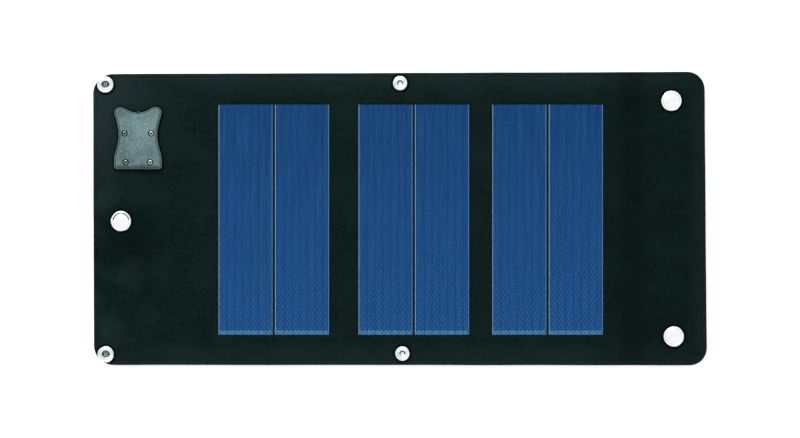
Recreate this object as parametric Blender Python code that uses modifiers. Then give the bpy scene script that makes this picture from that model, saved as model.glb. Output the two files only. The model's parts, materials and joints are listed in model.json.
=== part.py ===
"""A folding solar panel: three cell sections and two flaps of coated fabric, joined by four fabric spines.

Lengths are in metres. +X runs along the flat panel, +Y across it, +Z is up, and the cells face +Z.
The origin is the centre of the panel, on the surface that its fasteners' backs rest on.
Every spine has a crease at each of its two edges. A crease is a hinge along Y in the plane of the
front face, so the panel folds front side in, and the spine's width is the gap between the two fronts.
"""

import math

import bmesh
import bpy
from mathutils import Vector

MM = 0.001

# Driving dimensions of the flat panel.
PANEL_LENGTH = 443 * MM
PANEL_WIDTH = 211 * MM
LEFT_CORNER_RADIUS = 14.3 * MM
RIGHT_CORNER_RADIUS = 12.5 * MM
FABRIC_THICKNESS = 0.5 * MM
PANEL_THICKNESS = 2.4 * MM
FASTENER_DEPTH = 2.6 * MM

# Gaps between pieces that touch.
GAP = 0.2 * MM
CREASE_GAP = 0.15 * MM

# Heights of the layers, from the back up.
BACK = FASTENER_DEPTH
FRONT = BACK + PANEL_THICKNESS
BACK_COVER = (BACK, BACK + FABRIC_THICKNESS)
FRONT_COVER = (BACK_COVER[1] + GAP, FRONT)
BOARD = (3.4 * MM, 4.0 * MM)
POCKET_TOP = BOARD[1] + 0.3 * MM
CELL = (4.2 * MM, 4.4 * MM)
FILM = (4.6 * MM, 4.9 * MM)
CABLE = (3.5 * MM, 3.8 * MM)
CABLE_CHANNEL = (3.25 * MM, 4.1 * MM)

# The cells: each section has a group of two strips.
GROUP_CENTRES = (-91.05 * MM, 10.3 * MM, 107.2 * MM)
GROUP_WIDTH = 81.5 * MM
GROUP_LENGTH = 167.3 * MM
GROUP_Y = -0.55 * MM
STRIP_WIDTH = 40.25 * MM
WINDOW_GAP = 0.2 * MM
BOARD_LIP = 2.0 * MM
BOARD_GAP = 0.3 * MM

# The flat conductor that links the sections.
CABLE_Y = 51 * MM
CABLE_WIDTH = 8 * MM

# Spines: centre and width. A width holds what lies between the two fronts when folded.
SPINES = {
    "left": (-144.75 * MM, 20.3 * MM),
    "middle": (-38.0 * MM, 11.2 * MM),
    "right": (59.7 * MM, 8.4 * MM),
    "end": (150.2 * MM, 3.0 * MM),
}

# Press fasteners.
BIG_PLACES = {
    "left": (-201.5 * MM, -1.5 * MM),
    "upper": (196.8 * MM, 85.5 * MM),
    "lower": (198.5 * MM, -85.0 * MM),
}
CORNER_PLACES = {"upper": (-212.8 * MM, 97.2 * MM), "lower": (-212.5 * MM, -97.9 * MM)}
EYELET_PLACES = {"upper": (0.4 * MM, 98.3 * MM), "lower": (2.1 * MM, -97.4 * MM)}
BIG = {"cap": 7.6 * MM, "rise": 2.5 * MM, "post": 2.0 * MM, "socket": 6.3 * MM, "mouth": 3.4 * MM}
CORNER = {"cap": 5.5 * MM, "rise": 2.0 * MM, "post": 1.6 * MM, "socket": 5.9 * MM, "mouth": 3.0 * MM}
EYELET_RADIUS = 5.45 * MM
BARREL_RADIUS = 1.8 * MM
BARREL_WALL = 0.35 * MM
BARREL_REACH = 1.4 * MM
ROLLED_END = 0.5 * MM
POST_CLEARANCE = 0.3 * MM
SOCKET_FLOOR = 0.6 * MM

# The junction box on the left flap.
JUNCTION_X = -189.15 * MM
JUNCTION_HALF_WIDTH = 17.6 * MM
JUNCTION_WAIST = 3.3 * MM
WAIST_POWER = 0.6
JUNCTION_BOTTOM = 35.7 * MM
JUNCTION_TOP = 81.4 * MM
JUNCTION_SCALLOP = 4.0 * MM
SCALLOP_POWER = 1.4
HORN_RADIUS = 4.4 * MM
FOOT_RADIUS = 2.4 * MM
FLARE_TOP = 44.5 * MM
SIDE_STEPS = 12
SCALLOP_STEPS = 6
JUNCTION_HEIGHT = 6.2 * MM
JUNCTION_WALL = 1.5 * MM
JUNCTION_ROOF = 1.15 * MM
JUNCTION_BEVEL = 1.3 * MM
SCREW_PLACES = (
    (-198.8 * MM, 61.9 * MM),
    (-179.5 * MM, 61.9 * MM),
    (-198.0 * MM, 41.0 * MM),
    (-180.3 * MM, 41.0 * MM),
)
SCREW_HEAD_RADIUS = 1.9 * MM
SCREW_SHANK_RADIUS = 1.1 * MM
COUNTERBORE_RADIUS = 2.3 * MM
COUNTERBORE_DEPTH = 1.3 * MM
BOSS_RADIUS = 2.8 * MM
SCREW_HEAD_HEIGHT = 0.95 * MM
RECESS_ARM = 1.1 * MM
RECESS_HALF_SLOT = 0.28 * MM
RECESS_DEPTH = 0.55 * MM
PLATE_INSET = 1.0 * MM
PLATE_THICKNESS = 1.0 * MM
INLET_HEIGHT = 2.7 * MM
INLET_RADIUS = 2.1 * MM
INLET_BORE = 1.75 * MM
INLET_LENGTH = 9 * MM
INLET_FLOOR = 1.2 * MM
PIN_RADIUS = 0.65 * MM
PIN_START = 1.0 * MM
CIRCUIT_HALF_WIDTH = 5.4 * MM
CIRCUIT_Y = (38.6 * MM, 66 * MM)
CIRCUIT_FOOT = 0.3 * MM
CIRCUIT_THICKNESS = 0.8 * MM
DIODE_HALF_WIDTH = 2.0 * MM
DIODE_Y = (52 * MM, 58 * MM)
DIODE_HEIGHT = 2.0 * MM

ROUND_STEPS = 20
SMALL_STEPS = 12


# ---------------------------------------------------------------------------------------------
# Scene, materials and collections


def clear_scene():
    for thing in list(bpy.data.objects):
        bpy.data.objects.remove(thing, do_unlink=True)


def new_collection(name):
    collection = bpy.data.collections.new(name)
    bpy.context.scene.collection.children.link(collection)
    return collection


def new_material(name, colour, roughness, metallic=0.0, alpha=1.0):
    material = bpy.data.materials.new(name)
    material.use_nodes = True
    shader = material.node_tree.nodes["Principled BSDF"]
    shader.inputs["Base Color"].default_value = (*colour, 1.0)
    shader.inputs["Roughness"].default_value = roughness
    shader.inputs["Metallic"].default_value = metallic
    shader.inputs["Alpha"].default_value = alpha
    return material


clear_scene()
PARTS = new_collection("folding_solar_panel")
CUTTERS = new_collection("cutters")
FABRIC = new_material("coated_fabric", (0.007, 0.015, 0.015), 0.7)
SILICON = new_material("silicon", (0.014, 0.065, 0.2), 0.35)
CLEAR = new_material("clear_film", (0.8, 0.9, 1.0), 0.15, alpha=0.2)
LAMINATE = new_material("board_laminate", (0.03, 0.09, 0.05), 0.6)
NICKEL = new_material("nickel", (0.75, 0.75, 0.73), 0.25, 1.0)
STEEL = new_material("steel", (0.55, 0.56, 0.56), 0.35, 1.0)
MOULDING = new_material("moulded_plastic", (0.16, 0.24, 0.24), 0.55)
BLACK_PLASTIC = new_material("black_plastic", (0.01, 0.01, 0.01), 0.5)
CONDUCTOR = new_material("conductor", (0.6, 0.3, 0.1), 0.4, 0.6)


# ---------------------------------------------------------------------------------------------
# Bodies: an empty on each crease carries what turns about it

PIVOTS = {}


def add_pivot(body, x, parent=None):
    """An empty on a crease: at x, in the plane of the front face."""
    pivot = bpy.data.objects.new(body + "_pivot", None)
    PARTS.objects.link(pivot)
    place = Vector((x, 0, FRONT))
    pivot.location = place
    if parent:
        pivot.parent = PIVOTS[parent]
        pivot.matrix_parent_inverse = PIVOTS[parent].matrix_world.inverted()
    bpy.context.view_layer.update()
    PIVOTS[body] = pivot


def spine_edges(name):
    centre, width = SPINES[name]
    return centre - width / 2, centre + width / 2


def attach(thing, body):
    """Parents a piece to its body's pivot and leaves it where it is."""
    thing.parent = PIVOTS[body]
    thing.matrix_parent_inverse = PIVOTS[body].matrix_world.inverted()


# ---------------------------------------------------------------------------------------------
# Shapes


def add_mesh(name, mesh, material=None, body=None):
    """An object from a mesh: a part if it has a body, and a cutter if it has none."""
    thing = bpy.data.objects.new(name, mesh)
    if body is None:
        CUTTERS.objects.link(thing)
        thing.hide_render = True
        thing.display_type = "WIRE"
        return thing
    PARTS.objects.link(thing)
    mesh.materials.append(material)
    attach(thing, body)
    return thing


def block(name, x, y, z, material=None, body=None):
    """A cuboid from three pairs of limits."""
    shape = bmesh.new()
    bmesh.ops.create_cube(shape, size=1)
    size = [high - low for low, high in (x, y, z)]
    centre = [(high + low) / 2 for low, high in (x, y, z)]
    bmesh.ops.scale(shape, vec=size, verts=shape.verts)
    bmesh.ops.translate(shape, vec=centre, verts=shape.verts)
    mesh = bpy.data.meshes.new(name)
    shape.to_mesh(mesh)
    shape.free()
    return add_mesh(name, mesh, material, body)


def plate(name, outline, z, material=None, body=None, top_bevel=0.0):
    """A flat outline extruded between two heights, with its top edge chamfered if asked."""
    curve = bpy.data.curves.new(name + "_outline", "CURVE")
    curve.dimensions = "2D"
    curve.fill_mode = "BOTH"
    curve.extrude = (z[1] - z[0]) / 2
    spline = curve.splines.new("POLY")
    spline.points.add(len(outline) - 1)
    for point, (x, y) in zip(spline.points, outline):
        point.co = (x, y, 0, 1)
    spline.use_cyclic_u = True
    guide = bpy.data.objects.new(name + "_outline", curve)
    guide.location.z = (z[0] + z[1]) / 2
    CUTTERS.objects.link(guide)
    bpy.context.view_layer.update()
    solid = guide.evaluated_get(bpy.context.evaluated_depsgraph_get())
    mesh = bpy.data.meshes.new_from_object(solid)
    mesh.name = name
    mesh.transform(guide.matrix_world)
    bpy.data.objects.remove(guide, do_unlink=True)
    shape = bmesh.new()
    shape.from_mesh(mesh)
    bmesh.ops.remove_doubles(shape, verts=shape.verts, dist=1e-6)
    bmesh.ops.dissolve_limit(shape, angle_limit=math.radians(1), verts=shape.verts, edges=shape.edges)
    bmesh.ops.recalc_face_normals(shape, faces=shape.faces)
    if top_bevel:
        rim = [e for e in shape.edges if all(abs(v.co.z - z[1]) < 1e-6 for v in e.verts)]
        bmesh.ops.bevel(shape, geom=rim, offset=top_bevel, segments=2, profile=0.5, affect="EDGES")
    mesh.clear_geometry()
    shape.to_mesh(mesh)
    shape.free()
    return add_mesh(name, mesh, material, body)


def turned(name, profile, place, material=None, body=None, steps=ROUND_STEPS, turn=(0, 0, 0)):
    """A piece turned about its own Z: profile holds (radius, height) from the top down its outer side."""
    mesh = bpy.data.meshes.new(name)
    points = [(radius, 0, height) for radius, height in profile]
    edges = [(i, i + 1) for i in range(len(points) - 1)]
    if profile[0][0] > 0:
        edges.append((len(points) - 1, 0))
    mesh.from_pydata(points, edges, [])
    thing = add_mesh(name, mesh, material, body)
    thing.location = place
    thing.rotation_euler = turn
    screw = thing.modifiers.new("turn", "SCREW")
    screw.steps = steps
    screw.render_steps = steps
    screw.use_merge_vertices = True
    screw.merge_threshold = 1e-6
    screw.use_smooth_shade = True
    return thing


def rod(name, place, radius, z, material=None, body=None, steps=SMALL_STEPS):
    """An upright cylinder between two heights."""
    profile = [(0, z[1]), (radius, z[1]), (radius, z[0]), (0, z[0])]
    return turned(name, profile, (*place, 0), material, body, steps)


def cut(thing, cutter, operation="DIFFERENCE"):
    boolean = thing.modifiers.new(cutter.name, "BOOLEAN")
    boolean.operation = operation
    boolean.solver = "EXACT"
    boolean.object = cutter


def arc(centre, radius, start, end, steps=8):
    """Points on an arc, with its angles in degrees."""
    angles = [math.radians(start + (end - start) * i / steps) for i in range(steps + 1)]
    return [(centre[0] + radius * math.cos(a), centre[1] + radius * math.sin(a)) for a in angles]


# ---------------------------------------------------------------------------------------------
# Covers and spines

HALF_WIDTH = PANEL_WIDTH / 2
HALF_LENGTH = PANEL_LENGTH / 2


def left_flap_outline():
    r = LEFT_CORNER_RADIUS
    crease = spine_edges("left")[0] - CREASE_GAP
    outline = [(crease, -HALF_WIDTH), (crease, HALF_WIDTH)]
    outline += arc((-HALF_LENGTH + r, HALF_WIDTH - r), r, 90, 180)
    outline += arc((-HALF_LENGTH + r, -HALF_WIDTH + r), r, 180, 270)
    return outline


def right_flap_outline():
    r = RIGHT_CORNER_RADIUS
    crease = spine_edges("end")[1] + CREASE_GAP
    outline = [(crease, HALF_WIDTH), (crease, -HALF_WIDTH)]
    outline += arc((HALF_LENGTH - r, -HALF_WIDTH + r), r, -90, 0)
    outline += arc((HALF_LENGTH - r, HALF_WIDTH - r), r, 0, 90)
    return outline


def punch(covers, places, radius):
    """Round holes through the covers for fasteners."""
    for label, place in places.items():
        hole = rod(f"hole_{covers[0].name}_{label}", place, radius, (0, 2 * FRONT))
        for cover in covers:
            cut(cover, hole)


def make_flap(side, outline):
    body = side + "_flap"
    back = plate("back_cover_" + body, outline, BACK_COVER, FABRIC, body)
    front = plate("front_cover_" + body, outline, FRONT_COVER, FABRIC, body)
    return front, back


def make_spine(name, with_cable=True):
    """The strip of fabric between two creases, with a channel for the conductor."""
    low, high = spine_edges(name)
    body = name + "_spine"
    x = (low + CREASE_GAP, high - CREASE_GAP)
    strip = block("spine_" + name, x, (-HALF_WIDTH, HALF_WIDTH), (BACK, FRONT), FABRIC, body)
    if not with_cable:
        return
    half = CABLE_WIDTH / 2
    reach = (low - GAP, high + GAP)
    channel_y = (CABLE_Y - half - BOARD_GAP, CABLE_Y + half + BOARD_GAP)
    cut(strip, block("channel_" + name, reach, channel_y, CABLE_CHANNEL))
    block("flat_cable_" + name, x, (CABLE_Y - half, CABLE_Y + half), CABLE, CONDUCTOR, body)


# ---------------------------------------------------------------------------------------------
# Cell sections


def board_outline(group, left_tab, right_tab):
    """The backing board, with a tab to each crease that the conductor crosses."""
    left, right = group - GROUP_WIDTH / 2, group + GROUP_WIDTH / 2
    low, high = board_ends()
    tab = (CABLE_Y - CABLE_WIDTH / 2, CABLE_Y + CABLE_WIDTH / 2)
    outline = [(left, low), (right, low)]
    if right_tab is not None:
        outline += [(right, tab[0]), (right_tab, tab[0]), (right_tab, tab[1]), (right, tab[1])]
    outline += [(right, high), (left, high)]
    if left_tab is not None:
        outline += [(left, tab[1]), (left_tab, tab[1]), (left_tab, tab[0]), (left, tab[0])]
    return outline


def board_ends():
    """The board's two ends in Y, under the lips of the window."""
    return GROUP_Y - GROUP_LENGTH / 2 - BOARD_LIP, GROUP_Y + GROUP_LENGTH / 2 + BOARD_LIP


def cut_pocket(front, group, left_tab, right_tab):
    """Room for the board in the back of the front cover, open to each crease that has a tab."""
    name = front.name
    left, right = group - GROUP_WIDTH / 2 - BOARD_GAP, group + GROUP_WIDTH / 2 + BOARD_GAP
    low, high = board_ends()
    y = (low - BOARD_GAP, high + BOARD_GAP)
    cut(front, block("pocket_" + name, (left, right), y, (BACK, POCKET_TOP)))
    if left_tab is not None:
        left = left_tab - 1 * MM
    if right_tab is not None:
        right = right_tab + 1 * MM
    half = CABLE_WIDTH / 2 + BOARD_GAP
    channel_z = (BACK, POCKET_TOP - 0.1 * MM)
    cut(front, block("tab_channel_" + name, (left, right), (CABLE_Y - half, CABLE_Y + half), channel_z))


def make_section(number, low, high, right_tab=True):
    """One cell section between two creases: covers, board, two cell strips and the film over them."""
    body = f"section_{number}"
    group = GROUP_CENTRES[number - 1]
    x = (low + CREASE_GAP, high - CREASE_GAP)
    y = (-HALF_WIDTH, HALF_WIDTH)
    tabs = (x[0] + BOARD_GAP, x[1] - BOARD_GAP if right_tab else None)
    left, right = group - GROUP_WIDTH / 2, group + GROUP_WIDTH / 2
    bottom, top = GROUP_Y - GROUP_LENGTH / 2, GROUP_Y + GROUP_LENGTH / 2
    window_x = (left - WINDOW_GAP, right + WINDOW_GAP)
    window_y = (bottom - WINDOW_GAP, top + WINDOW_GAP)

    back = block("back_cover_" + body, x, y, BACK_COVER, FABRIC, body)
    front = block("front_cover_" + body, x, y, FRONT_COVER, FABRIC, body)
    cut_pocket(front, group, *tabs)
    cut(front, block("window_" + body, window_x, window_y, (BACK, 2 * FRONT)))
    plate("backing_board_" + body, board_outline(group, *tabs), BOARD, LAMINATE, body)
    block(f"solar_cell_{number}a", (left, left + STRIP_WIDTH), (bottom, top), CELL, SILICON, body)
    block(f"solar_cell_{number}b", (right - STRIP_WIDTH, right), (bottom, top), CELL, SILICON, body)
    block("clear_film_" + body, (left, right), (bottom, top), FILM, CLEAR, body)
    return front, back


# ---------------------------------------------------------------------------------------------
# Press fasteners, each turned about its own axis and resting on one face of the panel


def cap_profile(sizes):
    """A domed cap with a post through the panel, whose rolled end holds the socket on the other face."""
    r, rise, post = sizes["cap"], sizes["rise"], sizes["post"]
    grip = -PANEL_THICKNESS - 2 * GAP - SOCKET_FLOOR
    end = grip - ROLLED_END
    return [
        (0, rise),
        (0.5 * r, 0.98 * rise),
        (0.76 * r, 0.88 * rise),
        (0.92 * r, 0.68 * rise),
        (r, 0.4 * rise),
        (0.96 * r, 0.14 * rise),
        (0.86 * r, GAP),
        (post, GAP),
        (post, grip),
        (post + 0.6 * MM, grip),
        (post + 0.4 * MM, end),
        (0, end),
    ]


def socket_profile(sizes, depth):
    """A ring with an inner spring lip, round the end of the cap's post."""
    r, mouth, hole = sizes["socket"], sizes["mouth"], sizes["post"] + POST_CLEARANCE
    return [
        (mouth + 0.3 * MM, depth),
        (r - 0.7 * MM, depth),
        (r, depth - 0.7 * MM),
        (r, 0.6 * MM),
        (r - 0.4 * MM, GAP),
        (hole, GAP),
        (hole, GAP + SOCKET_FLOOR - 0.05 * MM),
        (mouth + 0.3 * MM, GAP + SOCKET_FLOOR - 0.05 * MM),
        (mouth + 0.3 * MM, depth - 1.0 * MM),
        (mouth, depth - 0.6 * MM),
    ]


def eyelet_profile():
    """A rolled flange on the front, with a barrel through the panel."""
    r, wall = EYELET_RADIUS, BARREL_WALL
    end = -PANEL_THICKNESS - BARREL_REACH
    return [
        (2.5 * MM, 1.15 * MM),
        (0.84 * r, 1.1 * MM),
        (0.97 * r, 0.8 * MM),
        (r, 0.45 * MM),
        (0.95 * r, GAP),
        (BARREL_RADIUS, GAP),
        (BARREL_RADIUS, end),
        (BARREL_RADIUS - wall, end),
        (BARREL_RADIUS - wall, 0.3 * MM),
        (2.0 * MM, 0.95 * MM),
    ]


def stud_profile():
    """The stud that presses into a corner socket, hollow for the eyelet's barrel."""
    bore = BARREL_RADIUS + POST_CLEARANCE
    return [
        (bore, FASTENER_DEPTH),
        (2.45 * MM, FASTENER_DEPTH),
        (2.7 * MM, 2.1 * MM),
        (2.45 * MM, 1.3 * MM),
        (2.6 * MM, 0.95 * MM),
        (4.9 * MM, 0.85 * MM),
        (5.4 * MM, 0.5 * MM),
        (5.2 * MM, GAP),
        (bore, GAP),
    ]


def on_front(place):
    return (*place, FRONT), (0, 0, 0)


def on_back(place):
    return (*place, BACK), (math.pi, 0, 0)


def make_big_fasteners(covers):
    """Wide caps on the front with sockets on the back, one on the left flap and two on the right."""
    for label, place in BIG_PLACES.items():
        body = "left_flap" if label == "left" else "right_flap"
        punch(covers[body], {label: place}, BIG["post"] + POST_CLEARANCE)
        spot, turn = on_front(place)
        turned("press_cap_" + label, cap_profile(BIG), spot, NICKEL, body, turn=turn)
        spot, turn = on_back(place)
        turned("press_socket_" + label, socket_profile(BIG, FASTENER_DEPTH), spot, NICKEL, body, turn=turn)


def make_corner_fasteners(covers):
    """Sockets on the front of the left flap's corners, with caps on the back."""
    punch(covers["left_flap"], CORNER_PLACES, CORNER["post"] + POST_CLEARANCE)
    for label, place in CORNER_PLACES.items():
        spot, turn = on_front(place)
        profile = socket_profile(CORNER, FASTENER_DEPTH)
        turned("corner_socket_" + label, profile, spot, NICKEL, "left_flap", turn=turn)
        spot, turn = on_back(place)
        turned("corner_cap_" + label, cap_profile(CORNER), spot, NICKEL, "left_flap", turn=turn)


def make_middle_fasteners(covers):
    """Eyelets on the front of section 2, with studs on the back that meet the corner sockets."""
    punch(covers["section_2"], EYELET_PLACES, BARREL_RADIUS + POST_CLEARANCE)
    for label, place in EYELET_PLACES.items():
        spot, turn = on_front(place)
        turned("eyelet_" + label, eyelet_profile(), spot, NICKEL, "section_2", turn=turn)
        spot, turn = on_back(place)
        turned("stud_" + label, stud_profile(), spot, NICKEL, "section_2", turn=turn)


# ---------------------------------------------------------------------------------------------
# Junction box


def junction_outline(inset=0.0):
    """A waisted box with two horns and a scallop between them, counter-clockwise, moved in by inset."""
    w, r = JUNCTION_HALF_WIDTH, FOOT_RADIUS
    horn = w - HORN_RADIUS
    side_top = JUNCTION_TOP - HORN_RADIUS
    right = arc((w - r, JUNCTION_BOTTOM + r), r, -90, 0, 4)
    for i in range(SIDE_STEPS + 1):
        u = i / SIDE_STEPS
        pull = JUNCTION_WAIST * ((1 - math.cos(2 * math.pi * u)) / 2) ** WAIST_POWER
        right.append((w - pull, FLARE_TOP + (side_top - FLARE_TOP) * u))
    right += arc((horn, side_top), HORN_RADIUS, 0, 90, 5)[1:]
    for i in range(1, SCALLOP_STEPS + 1):
        u = 1 - i / SCALLOP_STEPS
        rise = ((1 - math.cos(math.pi * u)) / 2) ** SCALLOP_POWER
        right.append((horn * u, JUNCTION_TOP - JUNCTION_SCALLOP * (1 - rise)))
    left = [(-x, y) for x, y in reversed(right[:-1])]
    outline = right + left
    count = len(outline)
    moved = []
    for i, (x, y) in enumerate(outline):
        before, after = outline[i - 1], outline[(i + 1) % count]
        along = Vector((after[0] - before[0], after[1] - before[1])).normalized()
        moved.append((JUNCTION_X + x - inset * along.y, y + inset * along.x))
    return moved


def make_junction_cover():
    body = "left_flap"
    foot, top = FRONT + GAP, FRONT + JUNCTION_HEIGHT
    cover = plate("junction_cover", junction_outline(), (foot, top), MOULDING, body, JUNCTION_BEVEL)
    cavity = plate("cavity_junction", junction_outline(JUNCTION_WALL), (BACK, top - JUNCTION_ROOF))
    for i, place in enumerate(SCREW_PLACES, 1):
        cut(cavity, rod(f"boss_{i}", place, BOSS_RADIUS, (0, 2 * top)))
    cut(cover, cavity)
    for i, place in enumerate(SCREW_PLACES, 1):
        seat = top - COUNTERBORE_DEPTH
        cut(cover, rod(f"counterbore_{i}", place, COUNTERBORE_RADIUS, (seat, 2 * top), steps=16))
        cut(cover, rod(f"screw_hole_{i}", place, SCREW_SHANK_RADIUS + POST_CLEARANCE, (0, top)))
    mouth = JUNCTION_TOP - JUNCTION_SCALLOP
    hole = rod("inlet_hole", (0, 0), INLET_RADIUS + GAP, (-4 * MM, 4 * MM), steps=16)
    hole.location = (JUNCTION_X, mouth, FRONT + INLET_HEIGHT)
    hole.rotation_euler.x = math.pi / 2
    cut(cover, hole)


def make_junction_back_plate():
    """The plate on the back of the flap that the screws pull against."""
    z = (BACK - GAP - PLATE_THICKNESS, BACK - GAP)
    backing = plate("junction_back_plate", junction_outline(PLATE_INSET), z, MOULDING, "left_flap")
    for i, place in enumerate(SCREW_PLACES, 1):
        cut(backing, rod(f"plate_hole_{i}", place, SCREW_SHANK_RADIUS + POST_CLEARANCE, (0, BACK)))


def make_screws():
    """Pan heads with a cross recess, in the cover's counterbores."""
    seat = FRONT + JUNCTION_HEIGHT - COUNTERBORE_DEPTH + GAP
    r, shank, rise = SCREW_HEAD_RADIUS, SCREW_SHANK_RADIUS, SCREW_HEAD_HEIGHT
    tip = BACK - PLATE_THICKNESS - 0.1 * MM - seat
    profile = [(0, rise), (0.6 * r, 0.92 * rise), (0.9 * r, 0.6 * rise), (r, 0.2 * rise), (r, 0)]
    profile += [(shank, 0), (shank, tip + 0.4 * MM), (0.6 * shank, tip), (0, tip)]
    arm, slot = RECESS_ARM, RECESS_HALF_SLOT
    for i, (x, y) in enumerate(SCREW_PLACES, 1):
        screw = turned(f"junction_screw_{i}", profile, (x, y, seat), STEEL, "left_flap", 16)
        z = (seat + rise - RECESS_DEPTH, seat + 2 * rise)
        across = block(f"recess_x_{i}", (x - arm, x + arm), (y - slot, y + slot), z)
        along = block(f"recess_y_{i}", (x - slot, x + slot), (y - arm, y + arm), z)
        cut(screw, across)
        cut(screw, along)


def make_electronics():
    """A circuit board with a blocking diode, and the DC inlet in the scalloped edge."""
    body = "left_flap"
    board_foot = FRONT + CIRCUIT_FOOT
    board_top = board_foot + CIRCUIT_THICKNESS
    board_x = (JUNCTION_X - CIRCUIT_HALF_WIDTH, JUNCTION_X + CIRCUIT_HALF_WIDTH)
    block("circuit_board", board_x, CIRCUIT_Y, (board_foot, board_top), LAMINATE, body)
    diode_x = (JUNCTION_X - DIODE_HALF_WIDTH, JUNCTION_X + DIODE_HALF_WIDTH)
    diode_z = (board_top + GAP, board_top + GAP + DIODE_HEIGHT)
    block("blocking_diode", diode_x, DIODE_Y, diode_z, BLACK_PLASTIC, body)

    spot = (JUNCTION_X, JUNCTION_TOP - JUNCTION_SCALLOP - GAP, FRONT + INLET_HEIGHT)
    back_wall = -INLET_LENGTH + INLET_FLOOR
    shell = [
        (INLET_RADIUS, 0),
        (INLET_RADIUS, -INLET_LENGTH),
        (PIN_RADIUS + GAP, -INLET_LENGTH),
        (PIN_RADIUS + GAP, back_wall),
        (INLET_BORE, back_wall),
        (INLET_BORE, 0),
    ]
    turn = (-math.pi / 2, 0, 0)
    turned("dc_inlet_shell", shell, spot, BLACK_PLASTIC, body, turn=turn)
    pin_end = -INLET_LENGTH - 1 * MM
    pin = [(0, -PIN_START), (PIN_RADIUS, -PIN_START - 0.3 * MM), (PIN_RADIUS, pin_end), (0, pin_end)]
    turned("dc_inlet_pin", pin, spot, NICKEL, body, 12, turn)


def make_flap_cable(front):
    """The conductor from the left spine to the box, turned up through the front cover."""
    crease = spine_edges("left")[0] - CREASE_GAP
    half = CABLE_WIDTH / 2
    end = JUNCTION_X - 2 * MM
    y = (CABLE_Y - half, CABLE_Y + half)
    cable = block("flat_cable_flap", (end, crease), y, CABLE, CONDUCTOR, "left_flap")
    riser_z = (CABLE[0], FRONT + GAP - 0.1 * MM)
    cut(cable, block("cable_riser", (end, end + 0.3 * MM), y, riser_z), "UNION")
    slack_y = (y[0] - BOARD_GAP, y[1] + BOARD_GAP)
    cut(front, block("channel_flap", (end - 1 * MM, crease + 1 * MM), slack_y, CABLE_CHANNEL))
    cut(front, block("cable_window", (end - 1 * MM, end + 2 * MM), slack_y, (BACK, 2 * FRONT)))


def make_screw_holes(covers):
    places = dict(enumerate(SCREW_PLACES, 1))
    punch(covers, {f"screw_{i}": place for i, place in places.items()}, SCREW_SHANK_RADIUS + POST_CLEARANCE)


# ---------------------------------------------------------------------------------------------
# The whole panel


def make_pivots():
    left, middle, right, end = (spine_edges(name) for name in SPINES)
    add_pivot("section_1", 0)
    add_pivot("left_spine", left[1], "section_1")
    add_pivot("left_flap", left[0], "left_spine")
    add_pivot("middle_spine", middle[0], "section_1")
    add_pivot("section_2", middle[1], "middle_spine")
    add_pivot("right_spine", right[0], "section_2")
    add_pivot("section_3", right[1], "right_spine")
    add_pivot("end_spine", end[0], "section_3")
    add_pivot("right_flap", end[1], "end_spine")


def make_panel():
    make_pivots()
    covers = {
        "left_flap": make_flap("left", left_flap_outline()),
        "section_1": make_section(1, spine_edges("left")[1], spine_edges("middle")[0]),
        "section_2": make_section(2, spine_edges("middle")[1], spine_edges("right")[0]),
        "section_3": make_section(3, spine_edges("right")[1], spine_edges("end")[0], right_tab=False),
        "right_flap": make_flap("right", right_flap_outline()),
    }
    for name in SPINES:
        make_spine(name, with_cable=name != "end")
    make_big_fasteners(covers)
    make_corner_fasteners(covers)
    make_middle_fasteners(covers)
    make_flap_cable(covers["left_flap"][0])
    make_screw_holes(covers["left_flap"])
    make_junction_cover()
    make_junction_back_plate()
    make_screws()
    make_electronics()


make_panel()
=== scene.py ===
"""Looks of the folding solar panel: coated fabric with foam, blue cell strips under clear film,
press fasteners and a moulded junction box, seen from straight above on a white floor.

Lengths are in metres, in the frame of the CAD model. Places come from the CAD nodes and joints.
"""

import json
import math

import bmesh
import bpy
import numpy as np
from mathutils import Matrix, Vector, noise


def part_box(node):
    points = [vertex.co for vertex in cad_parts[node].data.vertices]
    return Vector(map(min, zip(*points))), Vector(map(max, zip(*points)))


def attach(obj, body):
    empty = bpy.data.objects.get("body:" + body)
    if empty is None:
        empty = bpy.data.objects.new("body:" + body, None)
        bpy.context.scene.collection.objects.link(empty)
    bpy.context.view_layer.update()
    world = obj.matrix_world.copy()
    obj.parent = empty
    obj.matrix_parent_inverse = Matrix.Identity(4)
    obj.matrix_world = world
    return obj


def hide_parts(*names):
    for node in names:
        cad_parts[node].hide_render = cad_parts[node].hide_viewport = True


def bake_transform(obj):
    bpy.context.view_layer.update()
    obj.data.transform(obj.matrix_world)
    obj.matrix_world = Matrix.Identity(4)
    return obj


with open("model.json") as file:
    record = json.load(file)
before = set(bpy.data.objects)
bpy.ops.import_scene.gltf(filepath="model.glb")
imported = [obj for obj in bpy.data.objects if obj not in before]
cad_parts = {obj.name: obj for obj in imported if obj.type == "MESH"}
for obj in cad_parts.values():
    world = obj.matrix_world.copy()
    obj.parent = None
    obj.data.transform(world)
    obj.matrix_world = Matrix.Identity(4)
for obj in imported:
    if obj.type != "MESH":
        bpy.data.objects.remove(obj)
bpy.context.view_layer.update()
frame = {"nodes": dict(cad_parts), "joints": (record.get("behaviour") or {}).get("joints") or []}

MM = 0.001


# ---- Places from the CAD model


def limits(node):
    """A node's limits: ((x low, x high), (y low, y high), (z low, z high))."""
    low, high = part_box(node)
    return tuple(zip(low, high))


def centre(node):
    low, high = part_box(node)
    return (low + high) / 2


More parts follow.
